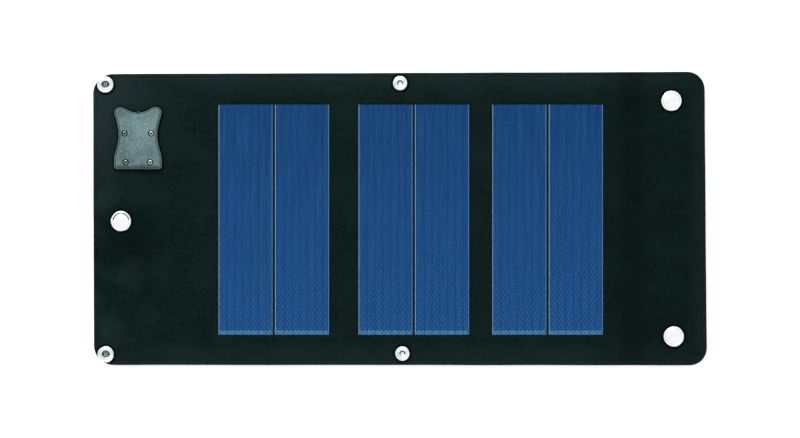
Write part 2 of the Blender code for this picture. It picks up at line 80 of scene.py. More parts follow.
CREASES = sorted(joint["pos_m"][0] for joint in frame["joints"])
FRONT = limits("front_cover_section_1")[2][1]
BACK = limits("back_cover_section_1")[2][0]
MIDDLE = (FRONT + BACK) / 2
LEFT_END = limits("back_cover_left_flap")[0][0]
RIGHT_END = limits("back_cover_right_flap")[0][1]
HALF_WIDTH = limits("back_cover_left_flap")[1][1]
LEFT_CORNER = 14.3 * MM
RIGHT_CORNER = 12.5 * MM
SECTIONS = (1, 2, 3)
WINDOW_GAP = 0.2 * MM
WINDOWS = []
for number in SECTIONS:
    film_x, film_y = limits(f"clear_film_section_{number}")[:2]
    WINDOWS.append((film_x[0] - WINDOW_GAP, film_x[1] + WINDOW_GAP))
WINDOW_Y = (film_y[0] - WINDOW_GAP, film_y[1] + WINDOW_GAP)
BOX = centre("junction_cover")

# Where the press fasteners sit, with the radius of fabric that each one touches.
FASTENERS = [(centre("press_cap_" + label), 8.2 * MM) for label in ("left", "upper", "lower")]
FASTENERS += [(centre("corner_socket_" + label), 6.4 * MM) for label in ("upper", "lower")]
FASTENERS += [(centre("eyelet_" + label), 6.0 * MM) for label in ("upper", "lower")]

# The bodies from left to right. Each two neighbours meet at a crease.
BODIES = "left_flap left_spine section_1 middle_spine section_2".split()
BODIES += "right_spine section_3 end_spine right_flap".split()


# ---- Node materials


class Look:
    """A Principled material, with short calls for the nodes that feed it."""

    def __init__(self, name, roughness, metallic=0.0, specular=0.5):
        self.material = bpy.data.materials.new(name)
        self.material.use_nodes = True
        self.tree = self.material.node_tree
        self.surface = self.tree.nodes["Principled BSDF"]
        self.surface_input("Roughness", roughness)
        self.surface_input("Metallic", metallic)
        self.surface_input("Specular IOR Level", specular)

    def node(self, kind, values=None, **settings):
        made = self.tree.nodes.new(kind)
        for name, value in settings.items():
            setattr(made, name, value)
        for name, value in (values or {}).items():
            self.feed(made.inputs[name], value)
        return made

    def feed(self, socket, value):
        """Links a socket to another node's socket, or sets it to a constant."""
        if isinstance(value, bpy.types.NodeSocket):
            self.tree.links.new(value, socket)
        elif socket.type == "RGBA":
            socket.default_value = (*value, 1.0)
        else:
            socket.default_value = value

    def rest_place(self):
        """Where the point lies on the flat panel, in metres: it stays put when the fabric folds."""
        return self.node("ShaderNodeUVMap", uv_map="rest").outputs["UV"]

    def object_place(self):
        return self.node("ShaderNodeTexCoord").outputs["Object"]

    def axis(self, place, name):
        return self.node("ShaderNodeSeparateXYZ", {"Vector": place}).outputs[name]

    def scaled(self, place, scale):
        return self.node("ShaderNodeMapping", {"Vector": place, "Scale": scale}).outputs["Vector"]

    def away(self, place, point):
        """Distance from a fixed point, in metres."""
        made = self.node("ShaderNodeVectorMath", {0: place, 1: tuple(point)}, operation="DISTANCE")
        return made.outputs["Value"]

    def math(self, operation, first, second=0.0, third=0.0):
        made = self.node("ShaderNodeMath", operation=operation)
        for socket, value in zip(made.inputs, (first, second, third)):
            self.feed(socket, value)
        return made.outputs[0]

    def cloud(self, place, size, detail=3.0, roughness=0.55):
        """Soft noise from 0 to 1, with features of the given size in millimetres."""
        values = {"Vector": place, "Scale": 1 / (size * MM), "Detail": detail, "Roughness": roughness}
        return self.node("ShaderNodeTexNoise", values).outputs["Fac"]

    def spread(self, value, low, high, to_low=0.0, to_high=1.0):
        """Maps low and high to to_low and to_high, and holds the value between those."""
        values = {"Value": value, "From Min": low, "From Max": high, "To Min": to_low, "To Max": to_high}
        return self.node("ShaderNodeMapRange", values).outputs["Result"]

    def mix(self, share, first, second):
        made = self.node("ShaderNodeMix", data_type="RGBA")
        self.feed(made.inputs["Factor"], share)
        for socket, value in zip([s for s in made.inputs if s.type == "RGBA"], (first, second)):
            self.feed(socket, value)
        return [s for s in made.outputs if s.type == "RGBA"][0]

    def over(self, tone, colour, value, low, high, most=1.0):
        """Lays a colour over a tone: not where the value is at low, and by the share most at high."""
        return self.mix(self.spread(value, low, high, 0.0, most), tone, colour)

    def largest(self, *values):
        share = values[0]
        for other in values[1:]:
            share = self.math("MAXIMUM", share, other)
        return share

    def surface_input(self, name, value):
        self.feed(self.surface.inputs[name], value)

    def bump(self, height, depth, strength=1.0, under=None):
        """A bump of the given depth in millimetres, over another bump if one is given."""
        values = {"Height": height, "Distance": depth * MM, "Strength": strength}
        if under is not None:
            values["Normal"] = under
        normal = self.node("ShaderNodeBump", values).outputs["Normal"]
        self.surface_input("Normal", normal)
        return normal

    def painted(self, tone):
        """Sets the base colour and gives the material."""
        self.surface_input("Base Color", tone)
        return self.material


def front_fabric():
    """Black coated fabric: a fine pebbled grain, a faint woven grid under it, soft scuffed patches,
    painted light along the edges, and painted shadows below the left cap and round each fastener.
    """
    look = Look("front_fabric", 0.62, specular=0.03)
    place = look.rest_place()
    wear_and_shade = look.cloud(place, 30)
    mottle = look.cloud(place, 3.2, 4.0, 0.7)
    fleck = look.cloud(place, 1.1, 2.0)
    streaks = look.cloud(look.scaled(place, (0.25, 1.6, 1.0)), 5, 3.0, 0.6)
    tone = look.over((0.0001, 0.0031, 0.0031), (0.0015, 0.007, 0.007), wear_and_shade, 0.38, 0.62)
    tone = look.over(tone, (0.0034, 0.0113, 0.0113), mottle, 0.35, 0.7, 0.8)
    tone = look.over(tone, (0.006, 0.016, 0.0162), streaks, 0.56, 0.7, 0.2)
    smoothed = look.spread(look.axis(place, "X"), CREASES[0] - 30 * MM, CREASES[0], 0.3, 0.7)
    flecks = look.math("MULTIPLY", look.spread(fleck, 0.5, 0.75), smoothed)
    tone = look.mix(flecks, tone, (0.01, 0.0215, 0.0218))
    # Painted light: a paler tone along the edges and towards the left end's upper corner.
    tone = look.mix(painted_light_edges(look, place), tone, (0.0165, 0.032, 0.0325))
    # Painted shadow below the left cap and round each fastener, and a darker right flap with a darker band
    # on it.
    tone = look.mix(dark_band_and_painted_shadows(look, place), tone, (0.0, 0.0014, 0.0014))
    look.surface_input("Roughness", look.spread(mottle, 0.3, 0.7, 0.55, 0.7))
    under = look.bump(weave(look, place, 1.4, 1.4), 0.03, 0.5)
    under = look.bump(mottle, 0.12, 0.5, under)
    pebbles = look.node("ShaderNodeTexVoronoi", {"Vector": place, "Scale": 1 / (0.62 * MM)})
    look.bump(pebbles.outputs["Distance"], 0.06, 0.7, under)
    return look.painted(tone)


def painted_light_edges(look, place):
    """Share of painted light, from 0 to 0.5: most at the left end's upper corner, and less along the
    edges.
    """
    along_x = look.axis(place, "X")
    along_y = look.math("ABSOLUTE", look.axis(place, "Y"))
    long_rims = look.spread(along_y, HALF_WIDTH - 18 * MM, HALF_WIDTH, 0.0, 0.27)
    right_rim = look.spread(along_x, RIGHT_END - 13 * MM, RIGHT_END, 0.0, 0.28)
    # Painted light in soft patches over the left end.
    left_light_cloud = look.spread(look.cloud(place, 34, 2.0), 0.42, 0.62)
    left_side = look.spread(along_x, LEFT_END, LEFT_END + 60 * MM, 0.34, 0.0)
    painted_light = look.math("MULTIPLY", left_light_cloud, left_side)
    corner = (LEFT_END, HALF_WIDTH - 25 * MM, 0.0)
    near_corner = look.spread(look.away(place, corner), 12 * MM, 75 * MM, 0.5, 0.0)
    return look.largest(long_rims, right_rim, painted_light, near_corner)


def dark_band_and_painted_shadows(look, place):
    """Share of a near-black tone: over the right flap and in a band on it, and as painted shadow below the
    left cap and in a ring round each fastener.
    """
    along_x = look.axis(place, "X")
    shares = [look.spread(along_x, CREASES[-1] - 14 * MM, CREASES[-1] + 2 * MM, 0.0, 0.2)]
    from_band = look.math("ABSOLUTE", look.math("SUBTRACT", along_x, CREASES[-1] + 17 * MM))
    left_cap = FASTENERS[0][0]
    # The middle of the painted shadow below the left cap.
    left_cap_shadow_centre = (left_cap.x + 3 * MM, left_cap.y - 12 * MM, 0.0)
    shares.append(look.spread(from_band, 4 * MM, 17 * MM, 0.5, 0.0))
    shares.append(look.spread(look.away(place, left_cap_shadow_centre), 4 * MM, 30 * MM, 0.55, 0.0))
    # A ring of painted shadow round each fastener.
    for spot, radius in FASTENERS:
        outwards = look.away(place, (spot.x, spot.y, 0.0))
        shares.append(look.spread(outwards, radius, radius + 1.8 * MM, 0.9, 0.0))
    return look.largest(*shares)


def weave(look, place, *pitches):
    """An over-and-under grid, from 0 to 1. The pitches along X and Y are in millimetres."""
    waves = []
    for name, pitch in zip("XY", pitches):
        turns = look.math("MULTIPLY", look.axis(place, name), 2 * math.pi / (pitch * MM))
        waves.append(look.math("SINE", turns))
    return look.math("MULTIPLY_ADD", look.math("MULTIPLY", *waves), 0.5, 0.5)


def back_fabric():
    """Black woven nylon: a visible plain weave with slight sheen."""
    look = Look("back_fabric", 0.6, specular=0.08)
    look.surface_input("Sheen Weight", 0.03)
    look.surface_input("Sheen Roughness", 0.4)
    place = look.rest_place()
    woven = weave(look, place, 1.5, 1.5)
    patches = look.cloud(place, 30, 2.0)
    tone = look.over((0.0008, 0.0024, 0.0026), (0.0085, 0.0135, 0.014), woven, 0.3, 0.7)
    tone = look.over(tone, (0.003, 0.0065, 0.0068), patches, 0.35, 0.7, 0.4)
    look.bump(look.cloud(place, 0.35, 2.0), 0.05, 0.5, look.bump(woven, 0.16, 0.8))
    return look.painted(tone)


def cell_blue():
    """A blue thin-film strip: paler towards the lower end, with an embossed grid of fine dashes shown as
    painted shade in its sunken parts and painted highlight on its raised parts.
    """
    look = Look("cell_blue", 0.42, specular=0.04)
    place = look.rest_place()
    slope = look.spread(look.axis(place, "Y"), *WINDOW_Y)
    tone = look.mix(slope, (0.0092, 0.064, 0.199), (0.0, 0.0235, 0.099))
    bricks = weave(look, place, 3.1, 4.3)
    depth = look.spread(slope, 0.0, 1.0, 0.95, 0.6)
    streaks = look.cloud(look.scaled(place, (1.6, 0.06, 1.0)), 2.6, 3.0, 0.6)
    mottle = look.cloud(place, 2.3, 3.0, 0.65)
    broad = look.cloud(place, 26, 2.0)
    tone = look.over(tone, (0.014, 0.079, 0.223), streaks, 0.45, 0.65, 0.45)
    tone = look.over(tone, (0.001, 0.029, 0.108), streaks, 0.45, 0.3, 0.5)
    # Painted shade in the grid's sunken parts and painted highlight on its raised parts.
    sunk_painted_shade = look.math("MULTIPLY", look.spread(bricks, 0.55, 0.85, 0.0, 0.62), depth)
    raised = look.math("MULTIPLY", look.spread(bricks, 0.45, 0.15, 0.0, 0.52), depth)
    tone = look.mix(sunk_painted_shade, tone, (0.0006, 0.024, 0.093))
    tone = look.mix(raised, tone, (0.016, 0.084, 0.232))
    tone = look.over(tone, (0.016, 0.084, 0.23), mottle, 0.45, 0.68, 0.4)
    tone = look.over(tone, (0.0012, 0.026, 0.102), mottle, 0.45, 0.3, 0.35)
    return look.painted(look.over(tone, (0.006, 0.056, 0.185), broad, 0.4, 0.7, 0.2))


def contact_band():
    """The pale contact band across a strip's lower end, with a row of round solder dots."""
    look = Look("contact_band", 0.4, specular=0.05)
    place = look.rest_place()
    dots = weave(look, place, 3.0, 2.6)
    wander = look.cloud(place, 2.6, 2.0)
    tone = look.over((0.018, 0.09, 0.22), (0.072, 0.18, 0.3), dots, 0.3, 0.7)
    look.bump(dots, 0.05, 0.8)
    return look.painted(look.over(tone, (0.105, 0.22, 0.33), wander, 0.5, 0.75, 0.6))


def film():
    """Clear film: nearly see-through, with a slight gloss."""
    look = Look("clear_film", 0.3, specular=0.35)
    look.surface_input("Alpha", 0.035)
    patches = look.cloud(look.rest_place(), 8)
    return look.painted(look.mix(patches, (0.01, 0.07, 0.2), (0.02, 0.08, 0.22)))


def plated(name, low, high, roughness):
    """Bright plating: fine turning marks, with duller patches between the two tones; on the grey nickel of
    the eyelets and front sockets these patches are painted reflections.
    """
    look = Look(name, roughness, metallic=1.0)
    place = look.object_place()
    marks = look.cloud(look.scaled(place, (1.0, 1.0, 12.0)), 1.2, 4.0)
    look.surface_input("Roughness", look.spread(marks, 0.3, 0.7, roughness * 0.75, roughness * 1.35))
    look.bump(marks, 0.01, 0.4)
    return look.painted(look.over(low, high, look.cloud(place, 4), 0.3, 0.7))


def moulding(name, low, high):
    """Grey-green moulded plastic: a fine grain with lit and shaded specks, and a painted pool of light
    towards the box's upper right.
    """
    look = Look(name, 0.5, specular=0.15)
    place = look.object_place()
    grain = look.cloud(place, 1.2, 4.0, 0.75)
    rubbed = look.cloud(place, 9, 2.0)
    from_painted_light = look.away(place, BOX + Vector((5 * MM, 5 * MM, 0)))
    shares = ((1.4, high), (1.75, high), (0.6, low))
    painted_light, lit, shaded = (tuple(share * part for part in tone) for share, tone in shares)
    tone = look.over(low, high, rubbed, 0.35, 0.65)
    # Painted light: a paler tone round a spot up and to the right of the box's middle.
    tone = look.mix(look.spread(from_painted_light, 2 * MM, 22 * MM, 0.8, 0.0), tone, painted_light)
    tone = look.over(tone, lit, grain, 0.5, 0.72, 0.7)
    look.surface_input("Roughness", look.spread(grain, 0.3, 0.7, 0.42, 0.58))
    look.bump(grain, 0.05, 0.55)
    return look.painted(look.over(tone, shaded, grain, 0.5, 0.32, 0.6))


def speckled(name, low, high, roughness, specular=0.4, size=1.0, start=0.3, grain=(0.02, 0.4), flat=False):
    """A plain surface with a fine speckle between two tones.

    size is in millimetres, and start is the noise at which the second tone begins. grain is the depth and
    strength of the bump. A flat one takes its place from the "rest" layer.
    """
    look = Look(name, roughness, specular=specular)
    speck = look.cloud(look.rest_place() if flat else look.object_place(), size)
    if grain:
        look.bump(speck, *grain)
    return look.painted(look.over(low, high, speck, start, 0.7))


def busbar(name, low, high):
    """A printed silver line along a strip's edge, dulled by the film over it."""
    return speckled(name, low, high, 0.45, 0.08, 1.6, 0.35, (0.03, 0.5), True)


def floor_white():
    look = Look("floor_white", 0.9, specular=0.1)
    look.surface_input("Emission Color", (1.0, 1.0, 1.0))
    look.surface_input("Emission Strength", 0.35)
    patches = look.cloud(look.object_place(), 400)
    return look.painted(look.mix(patches, (0.9, 0.9, 0.9), (0.92, 0.92, 0.92)))


FRONT_FABRIC = front_fabric()
BACK_FABRIC = back_fabric()
CELL_BLUE = cell_blue()
CONTACT_BAND = contact_band()
FILM = film()
# The dark encapsulant beside a strip's printed lines, and the scribed lines between its rows.
CELL_EDGE = speckled(
    "cell_edge", (0.0006, 0.007, 0.0165), (0.0016, 0.01, 0.0235), 0.5, 0.03, 2, grain=None, flat=True
)
SCRIBE = speckled(
    "scribe", (0.0004, 0.015, 0.062), (0.003, 0.038, 0.128), 0.45, 0.03, 1.8, 0.35, None, True
)
BUSBAR = busbar("busbar", (0.09, 0.2, 0.315), (0.195, 0.33, 0.45))
FAINT_BUSBAR = busbar("faint_busbar", (0.05, 0.135, 0.24), (0.105, 0.215, 0.325))
NICKEL = plated("nickel", (0.84, 0.86, 0.86), (0.96, 0.97, 0.97), 0.24)
# Nickel whose grey patches are painted reflections, for the eyelets and front sockets.
NICKEL_PAINTED_REFLECTIONS = plated("nickel_painted_reflections", (0.58, 0.66, 0.66), (0.96, 0.97, 0.97), 0.28)
DULL_NICKEL = plated("dull_nickel", (0.2, 0.23, 0.23), (0.42, 0.45, 0.45), 0.4)
# A dark metal used only as painted shade: in the fasteners' wells, mouths, post ends and hole rims.
PAINTED_SHADE_METAL = plated("painted_shade_bands", (0.015, 0.022, 0.022), (0.06, 0.075, 0.075), 0.5)
STEEL = plated("screw_steel", (0.45, 0.52, 0.52), (0.85, 0.9, 0.9), 0.3)
DULL_STEEL = plated("dull_screw_steel", (0.14, 0.2, 0.2), (0.55, 0.62, 0.62), 0.35)
MOULDING = moulding("moulded_plastic", (0.054, 0.097, 0.099), (0.1, 0.164, 0.167))
# Copies of the box's plastic: darker as painted shade on the rim and shoulder, paler as painted highlight
# on the top edge.
MOULDING_RIM_PAINTED_SHADE = moulding("moulded_rim", (0.026, 0.052, 0.056), (0.044, 0.08, 0.085))
MOULDING_SHOULDER_PAINTED_SHADE = moulding("moulded_shoulder", (0.045, 0.075, 0.079), (0.07, 0.112, 0.116))
MOULDING_EDGE_PAINTED_HIGHLIGHT = moulding("moulded_edge", (0.09, 0.15, 0.155), (0.14, 0.21, 0.215))
BACK_MOULDING = speckled("back_moulding", (0.048, 0.086, 0.088), (0.064, 0.108, 0.11), 0.5, 0.15)
BLACK_PLASTIC = speckled("black_plastic", (0.0015, 0.004, 0.0042), (0.004, 0.007, 0.0072), 0.55, 0.04)
# Near-black as painted shadow: the skirt round the box's foot, and the recesses and washers of the screws.
PAINTED_SHADE_BLACK = speckled("painted_shade_black", (0.0001, 0.0009, 0.001), (0.0004, 0.002, 0.0021), 0.6, 0.02)
LAMINATE = speckled("board_laminate", (0.0004, 0.0052, 0.0135), (0.001, 0.0078, 0.019), 0.55, 0.03)
GREEN_BOARD = speckled("green_board", (0.01, 0.07, 0.03), (0.016, 0.095, 0.042), 0.4)
AMBER = speckled("flat_conductor", (0.38, 0.15, 0.035), (0.48, 0.2, 0.05), 0.35)


# ---- Pieces in general


def belongs(piece, body, node=None):
    """Fixes a piece to a body, and hides the CAD node that it stands for."""
    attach(piece, body)
    if node:
        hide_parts(node)


def linked(name, mesh):
    thing = bpy.data.objects.new(name, mesh)
    bpy.context.scene.collection.objects.link(thing)
    return thing


def mesh_of(name, shape):
    """A mesh from a bmesh, which is freed."""
    mesh = bpy.data.meshes.new(name)
    shape.to_mesh(mesh)
    shape.free()
    return mesh


def evaluated_mesh(thing):
    """A new mesh of an object with its modifiers, or of a curve with its thickness."""
    bpy.context.view_layer.update()
    return bpy.data.meshes.new_from_object(thing.evaluated_get(bpy.context.evaluated_depsgraph_get()))


def shade_smoothly(mesh, sharp_degrees):
    mesh.shade_smooth()
    mesh.set_sharp_from_angle(angle=math.radians(sharp_degrees))


def finished(name, mesh, sharp_degrees, weld=None):
    """Drops unused points, joins those closer than weld, points the faces out and links a new object."""
    shape = bmesh.new()
    shape.from_mesh(mesh)
    if weld:
        bmesh.ops.remove_doubles(shape, verts=shape.verts, dist=weld)
    loose = [v for v in shape.verts if not v.link_faces]
    bmesh.ops.delete(shape, geom=loose, context="VERTS")
    bmesh.ops.recalc_face_normals(shape, faces=shape.faces)
    shape.to_mesh(mesh)
    shape.free()
    shade_smoothly(mesh, sharp_degrees)
    return linked(name, mesh)


def smooth(share):
    share = min(1.0, max(0.0, share))
    return share * share * (3 - 2 * share)


def waver(x, y, size_x, size_y, seed):
    """Smooth noise about 0 over the panel, with features of the given sizes in millimetres."""
    return noise.noise((x / (size_x * MM), y / (size_y * MM), seed))


def arc_points(centre_r, centre_z, radius, start, end, steps=6):
    """Points on an arc about a centre, with its angles in degrees."""
    points = []
    for k in range(steps + 1):
        angle = math.radians(start + (end - start) * k / steps)
        points.append((centre_r + radius * math.cos(angle), centre_z + radius * math.sin(angle)))
    return points


# ---- Sheets: a lattice of points with an upper and a lower surface, closed round its edges


def sheet_mesh(name, xs, ys, points_at, materials, kept=None, material_of=None):
    """A closed mesh over a lattice. Its "rest" layer says where each point lies on the flat panel.

    points_at(i, j) gives a lattice point's (x, y) and the heights of the upper and the lower surface.
    kept says which squares exist, and material_of(i, j) gives a square's material number.
    """
    rows, columns = len(xs), len(ys)
    upper, lower = np.zeros((rows, columns, 3)), np.zeros((rows, columns, 3))
    for i in range(rows):
        for j in range(columns):
            place, top, bottom = points_at(i, j)
            upper[i, j] = (*place, top)
            lower[i, j] = (*place, bottom)
    if kept is None:
        kept = np.ones((rows - 1, columns - 1), bool)
    count = rows * columns
    points = np.concatenate([upper.reshape(-1, 3), lower.reshape(-1, 3)])
    bordered = np.pad(kept, 1)
    faces, tags = [], []
    for i, j in np.argwhere(kept).tolist():
        ring = [(i + a) * columns + j + b for a, b in ((0, 0), (1, 0), (1, 1), (0, 1))]
        tag = material_of(i, j) if material_of else 0
        faces += [ring, [k + count for k in reversed(ring)]]
        tags += [tag, tag]
        # Each side of the ring, with the place of the square beyond it.
        for side, (a, b) in enumerate(((0, 1), (1, 0), (2, 1), (1, 2))):
            if not bordered[i + a, j + b]:
                faces.append([ring[side], ring[side - 1], ring[side - 1] + count, ring[side] + count])
                tags.append(tag)
    mesh = bpy.data.meshes.new(name)
    mesh.from_pydata(points.tolist(), [], faces)
    mesh.polygons.foreach_set("material_index", tags)
    corner_points = np.zeros(len(mesh.loops), int)
    mesh.loops.foreach_get("vertex_index", corner_points)
    mesh.uv_layers.new(name="rest").data.foreach_set("uv", points[corner_points, :2].ravel())
    for material in materials:
        mesh.materials.append(material)
    return finished(name, mesh, 40)


def lines_between(low, high, fixed, step):
    """The fixed lattice lines from low to high, and enough others that gaps stay within step."""
    inside = sorted({round(x, 7) for x in fixed if low < x < high} | {round(low, 7), round(high, 7)})
    lines = [inside[0]]
    for start, end in zip(inside, inside[1:]):
        count = max(1, math.ceil((end - start) / step))
        lines += [start + (end - start) * k / count for k in range(1, count + 1)]
    return np.array(lines)


# ---- Fabric

# The panel's edge: distance in from the edge, and height of the outer surface over the middle plane.
# The two fabrics are welded together along the rim, with a pressed line just inside it.
EDGE_PROFILE = (
    (0.0, 0.1), (0.15, 0.32), (0.4, 0.5), (0.9, 0.58), (1.9, 0.6), (2.3, 0.52), (2.6, 0.34),
    (2.9, 0.34), (3.2, 0.52), (3.7, 0.82), (4.4, 1.00), (5.4, 1.12), (7.0, 1.18), (9.0, 1.20),
)
EDGE_LINES = [distance * MM for distance, _ in EDGE_PROFILE]
CREASE_LINES = [k * 0.4 * MM for k in range(-4, 5)]
WINDOW_LINES = (0, 0.25, 0.55, 0.9)
STEP = 3.5 * MM
BACK_THICKNESS = 0.5 * MM
SEAM_GAP = 0.02 * MM
FOAM_DEPTH = 0.5 * MM
RIPPLE = 0.55 * MM
OUTLINE_WAVER = 0.16 * MM
OUTLINE_FADE = 9 * MM
CREASE_DIP, CREASE_REACH = 0.16 * MM, 1.1 * MM
WINDOW_DIP, WINDOW_REACH = 0.32 * MM, 0.8 * MM
FASTENER_DIP, FASTENER_REACH = 0.12 * MM, 3 * MM

# How far each corner stands off a true rectangle. The keys are (left or right, lower or upper).
CORNER_OFFSETS = {
    (0, 0): (0.25 * MM, -0.15 * MM),
    (0, 1): (-0.35 * MM, -0.55 * MM),
    (1, 0): (1.05 * MM, -0.45 * MM),
    (1, 1): (-0.65 * MM, 1.10 * MM),
}

# Places where the fabric is held flat, each with its reach.
HARD_SPOTS = [(spot, 9 * MM) for spot, _ in FASTENERS]
HARD_SPOTS += [(BOX + Vector((0, dy * MM, 0)), 22 * MM) for dy in (-12, 0, 12)]


def rim_distance(x, y):
    """Distance in from the nearest edge of the flat panel, with square corners."""
    return min(x - LEFT_END, RIGHT_END - x, HALF_WIDTH - abs(y))


def rounded(x, y):
    """Moves a point of the square-cornered lattice so that the corners become round."""
    for end, side, radius in ((LEFT_END, 1, LEFT_CORNER), (RIGHT_END, -1, RIGHT_CORNER)):
        a = (x - end) * side
        b = HALF_WIDTH - abs(y)
        if a >= radius or b >= radius:
            continue
        reach = radius - min(a, b)
        if reach < 1e-9:
            share = 0.5
        elif a <= b:
            share = 0.5 * (radius - b) / reach
        else:
            share = 1 - 0.5 * (radius - a) / reach
        angle = share * math.pi / 2
        x = end + side * (radius - reach * math.cos(angle))
        y = math.copysign(HALF_WIDTH - radius + reach * math.sin(angle), y)
        return x, y
    return x, y


def window_distance(x, y):
    """Distance out from the nearest window's edge, and 0 inside a window."""
    away_y = max(WINDOW_Y[0] - y, y - WINDOW_Y[1], 0.0)
    return min(math.hypot(max(low - x, x - high, 0.0), away_y) for low, high in WINDOWS)


def crease_distance(x):
    return min(abs(x - crease) for crease in CREASES)


def ripple(x, y):
    """How far the limp fabric stands off flat: nothing beside windows, creases, fasteners and the box."""
    free = smooth((window_distance(x, y) - 2 * MM) / (14 * MM))
    free *= smooth((crease_distance(x) - 2 * MM) / (8 * MM))
    for spot, reach in HARD_SPOTS:
        free *= smooth((math.hypot(x - spot.x, y - spot.y) - reach) / (12 * MM))
    wave = waver(x, y, 45, 38, 0.3)
    wave += 0.4 * waver(x, y, 17, 15, 4.1)
    return RIPPLE * free * wave


def edge_shift(x, y):
    """How far the outline stands off a true rectangle, with a slight waver, fading inwards."""
    across = (x - LEFT_END) / (RIGHT_END - LEFT_END)
    along = (y + HALF_WIDTH) / (2 * HALF_WIDTH)
    shift_x = OUTLINE_WAVER * waver(x, y, 60, 26, 7.7)
    shift_y = OUTLINE_WAVER * waver(x, y, 31, 60, 2.9)
    for (right, upper), (offset_x, offset_y) in CORNER_OFFSETS.items():
        share = (across if right else 1 - across) * (along if upper else 1 - along)
        shift_x += share * offset_x
        shift_y += share * offset_y
    fade = 1 - smooth(rim_distance(x, y) / OUTLINE_FADE)
    return shift_x * fade, shift_y * fade


def outer_height(x, y):
    """Height of the outer surface over the middle plane, with a pressed line along each crease."""
    height = np.interp(rim_distance(x, y) / MM, *zip(*EDGE_PROFILE)) * MM
    return height - CREASE_DIP * (1 - smooth(crease_distance(x) / CREASE_REACH))


def front_dip(lattice, place):
    """How far the front turns down beside a window and is pinched down under a fastener's rim."""
    dip = 0.0
    for spot, radius in FASTENERS:
        away = math.hypot(place[0] - spot.x, place[1] - spot.y)
        dip = max(dip, 1 - smooth((away - radius) / FASTENER_REACH))
    return WINDOW_DIP * (1 - smooth(window_distance(*lattice) / WINDOW_REACH)) + FASTENER_DIP * dip


def panel_lines(low, high):
    """Lattice lines of one piece of the panel, from low to high along X and over its whole width."""
    fixed_x = [LEFT_END + d for d in EDGE_LINES] + [RIGHT_END - d for d in EDGE_LINES]
    fixed_x += [LEFT_END + LEFT_CORNER, RIGHT_END - RIGHT_CORNER]
    fixed_x += [crease + d for crease in CREASES for d in CREASE_LINES]
    for window in WINDOWS:
        for edge, outward in zip(window, (-1, 1)):
            fixed_x += [edge + outward * d * MM for d in WINDOW_LINES]
    from_edge = (*EDGE_LINES, LEFT_CORNER, RIGHT_CORNER)
    fixed_y = [side * (HALF_WIDTH - d) for d in from_edge for side in (-1, 1)]
    for edge, outward in zip(WINDOW_Y, (-1, 1)):
        fixed_y += [edge + outward * d * MM for d in (*WINDOW_LINES, 1.5)]
    return lines_between(low, high, fixed_x, STEP), lines_between(-HALF_WIDTH, HALF_WIDTH, fixed_y, STEP)


def panel_piece(name, low, high, front):
    """One stretch of the front (foam, coated fabric and windows) or of the back (nylon)."""
    xs, ys = panel_lines(low, high)

    def points_at(i, j):
        x, y = xs[i], ys[j]
        flat = rounded(x, y)
        shift = edge_shift(x, y)
        place = (flat[0] + shift[0], flat[1] + shift[1])
        lift = ripple(*flat)
        height = outer_height(x, y)
        if front:
            height -= front_dip((x, y), flat)
            inner = SEAM_GAP - FOAM_DEPTH * smooth((rim_distance(x, y) - 3 * MM) / (4 * MM))
            return place, MIDDLE + height + lift, MIDDLE + min(inner, height - 0.05 * MM) + lift
        inner = min(-SEAM_GAP, -height + BACK_THICKNESS)
        return place, MIDDLE + inner + lift, MIDDLE - height + lift

    kept = np.ones((len(xs) - 1, len(ys) - 1), bool)
    if front:
        for left, right in WINDOWS:
            in_x = (xs[:-1] > left - 1e-6) & (xs[1:] < right + 1e-6)
            in_y = (ys[:-1] > WINDOW_Y[0] - 1e-6) & (ys[1:] < WINDOW_Y[1] + 1e-6)
            kept &= ~np.outer(in_x, in_y)
    return sheet_mesh(name, xs, ys, points_at, [FRONT_FABRIC if front else BACK_FABRIC], kept)


def make_panel_fabric():
    """The front and back in pieces that each span one crease, cut in the middle of every body."""
    seams = [(left_crease + right_crease) / 2 for left_crease, right_crease in zip(CREASES, CREASES[1:])]
    seams = [LEFT_END, *seams, RIGHT_END]
    for k, crease in enumerate(CREASES):
        first, second = BODIES[k], BODIES[k + 1]
        low, high = seams[k], seams[k + 1]
        front = panel_piece(f"front_fabric_{k + 1}", low, high, True)
        back = panel_piece(f"back_fabric_{k + 1}", low, high, False)
        for piece, slot in ((front, "front_fabric"), (back, "back_fabric")):
            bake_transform(piece)
        # A body's CAD covers are replaced by the first pieces that reach it.
        for body in (first, second) if k == 0 else (second,):
            if body.endswith("_spine"):
                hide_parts("spine_" + body.removesuffix("_spine"))
            else:
                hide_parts("front_cover_" + body)
                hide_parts("back_cover_" + body)


# ---- Cells and film

SCRIBE_PLACES = [7.2 * MM + 5.66 * MM * k for k in range(6)]
SCRIBE_PROFILE = ((-0.26, -0.04), (-0.14, -0.14), (0.14, -0.14), (0.26, -0.04))
OUTER_MARGIN = 0.8 * MM
INNER_MARGIN = 0.42 * MM
END_MARGIN = 0.4 * MM
BUSBAR_WIDTH = 0.6 * MM
BUSBAR_DEPTH = 0.07 * MM
GROOVE_WIDTH = 0.25 * MM
BAND_HEIGHT = 3.4 * MM
CELL_SWELL = 0.12 * MM
CELL_STEP = 12 * MM
FILM_STEP = 5 * MM
FILM_SWELL = 0.03 * MM
FILM_FALL, FILM_RIM = 0.14 * MM, 0.6 * MM


def strip_profile(width, margins):
    """(distance across, height) of a strip's top: a raised busbar at each edge and six scribed grooves.

    margins are the widths of bare encapsulant outside the left and right busbars.
    """
    sides = []
    for margin in margins:
        inner = margin + BUSBAR_WIDTH
        line = [(0.0, -0.1 * MM), (margin, -0.08 * MM), (margin + 0.05 * MM, 0.0)]
        line += [(inner - 0.05 * MM, 0.0), (inner, -BUSBAR_DEPTH)]
        line += [(inner + GROOVE_WIDTH, -BUSBAR_DEPTH), (inner + GROOVE_WIDTH + 0.1 * MM, -0.04 * MM)]
        sides.append(line)
    points = sides[0]
    for place in SCRIBE_PLACES:
        points += [(place + dx * MM, dz * MM) for dx, dz in SCRIBE_PROFILE]
    return points + [(width - x, z) for x, z in reversed(sides[1])]


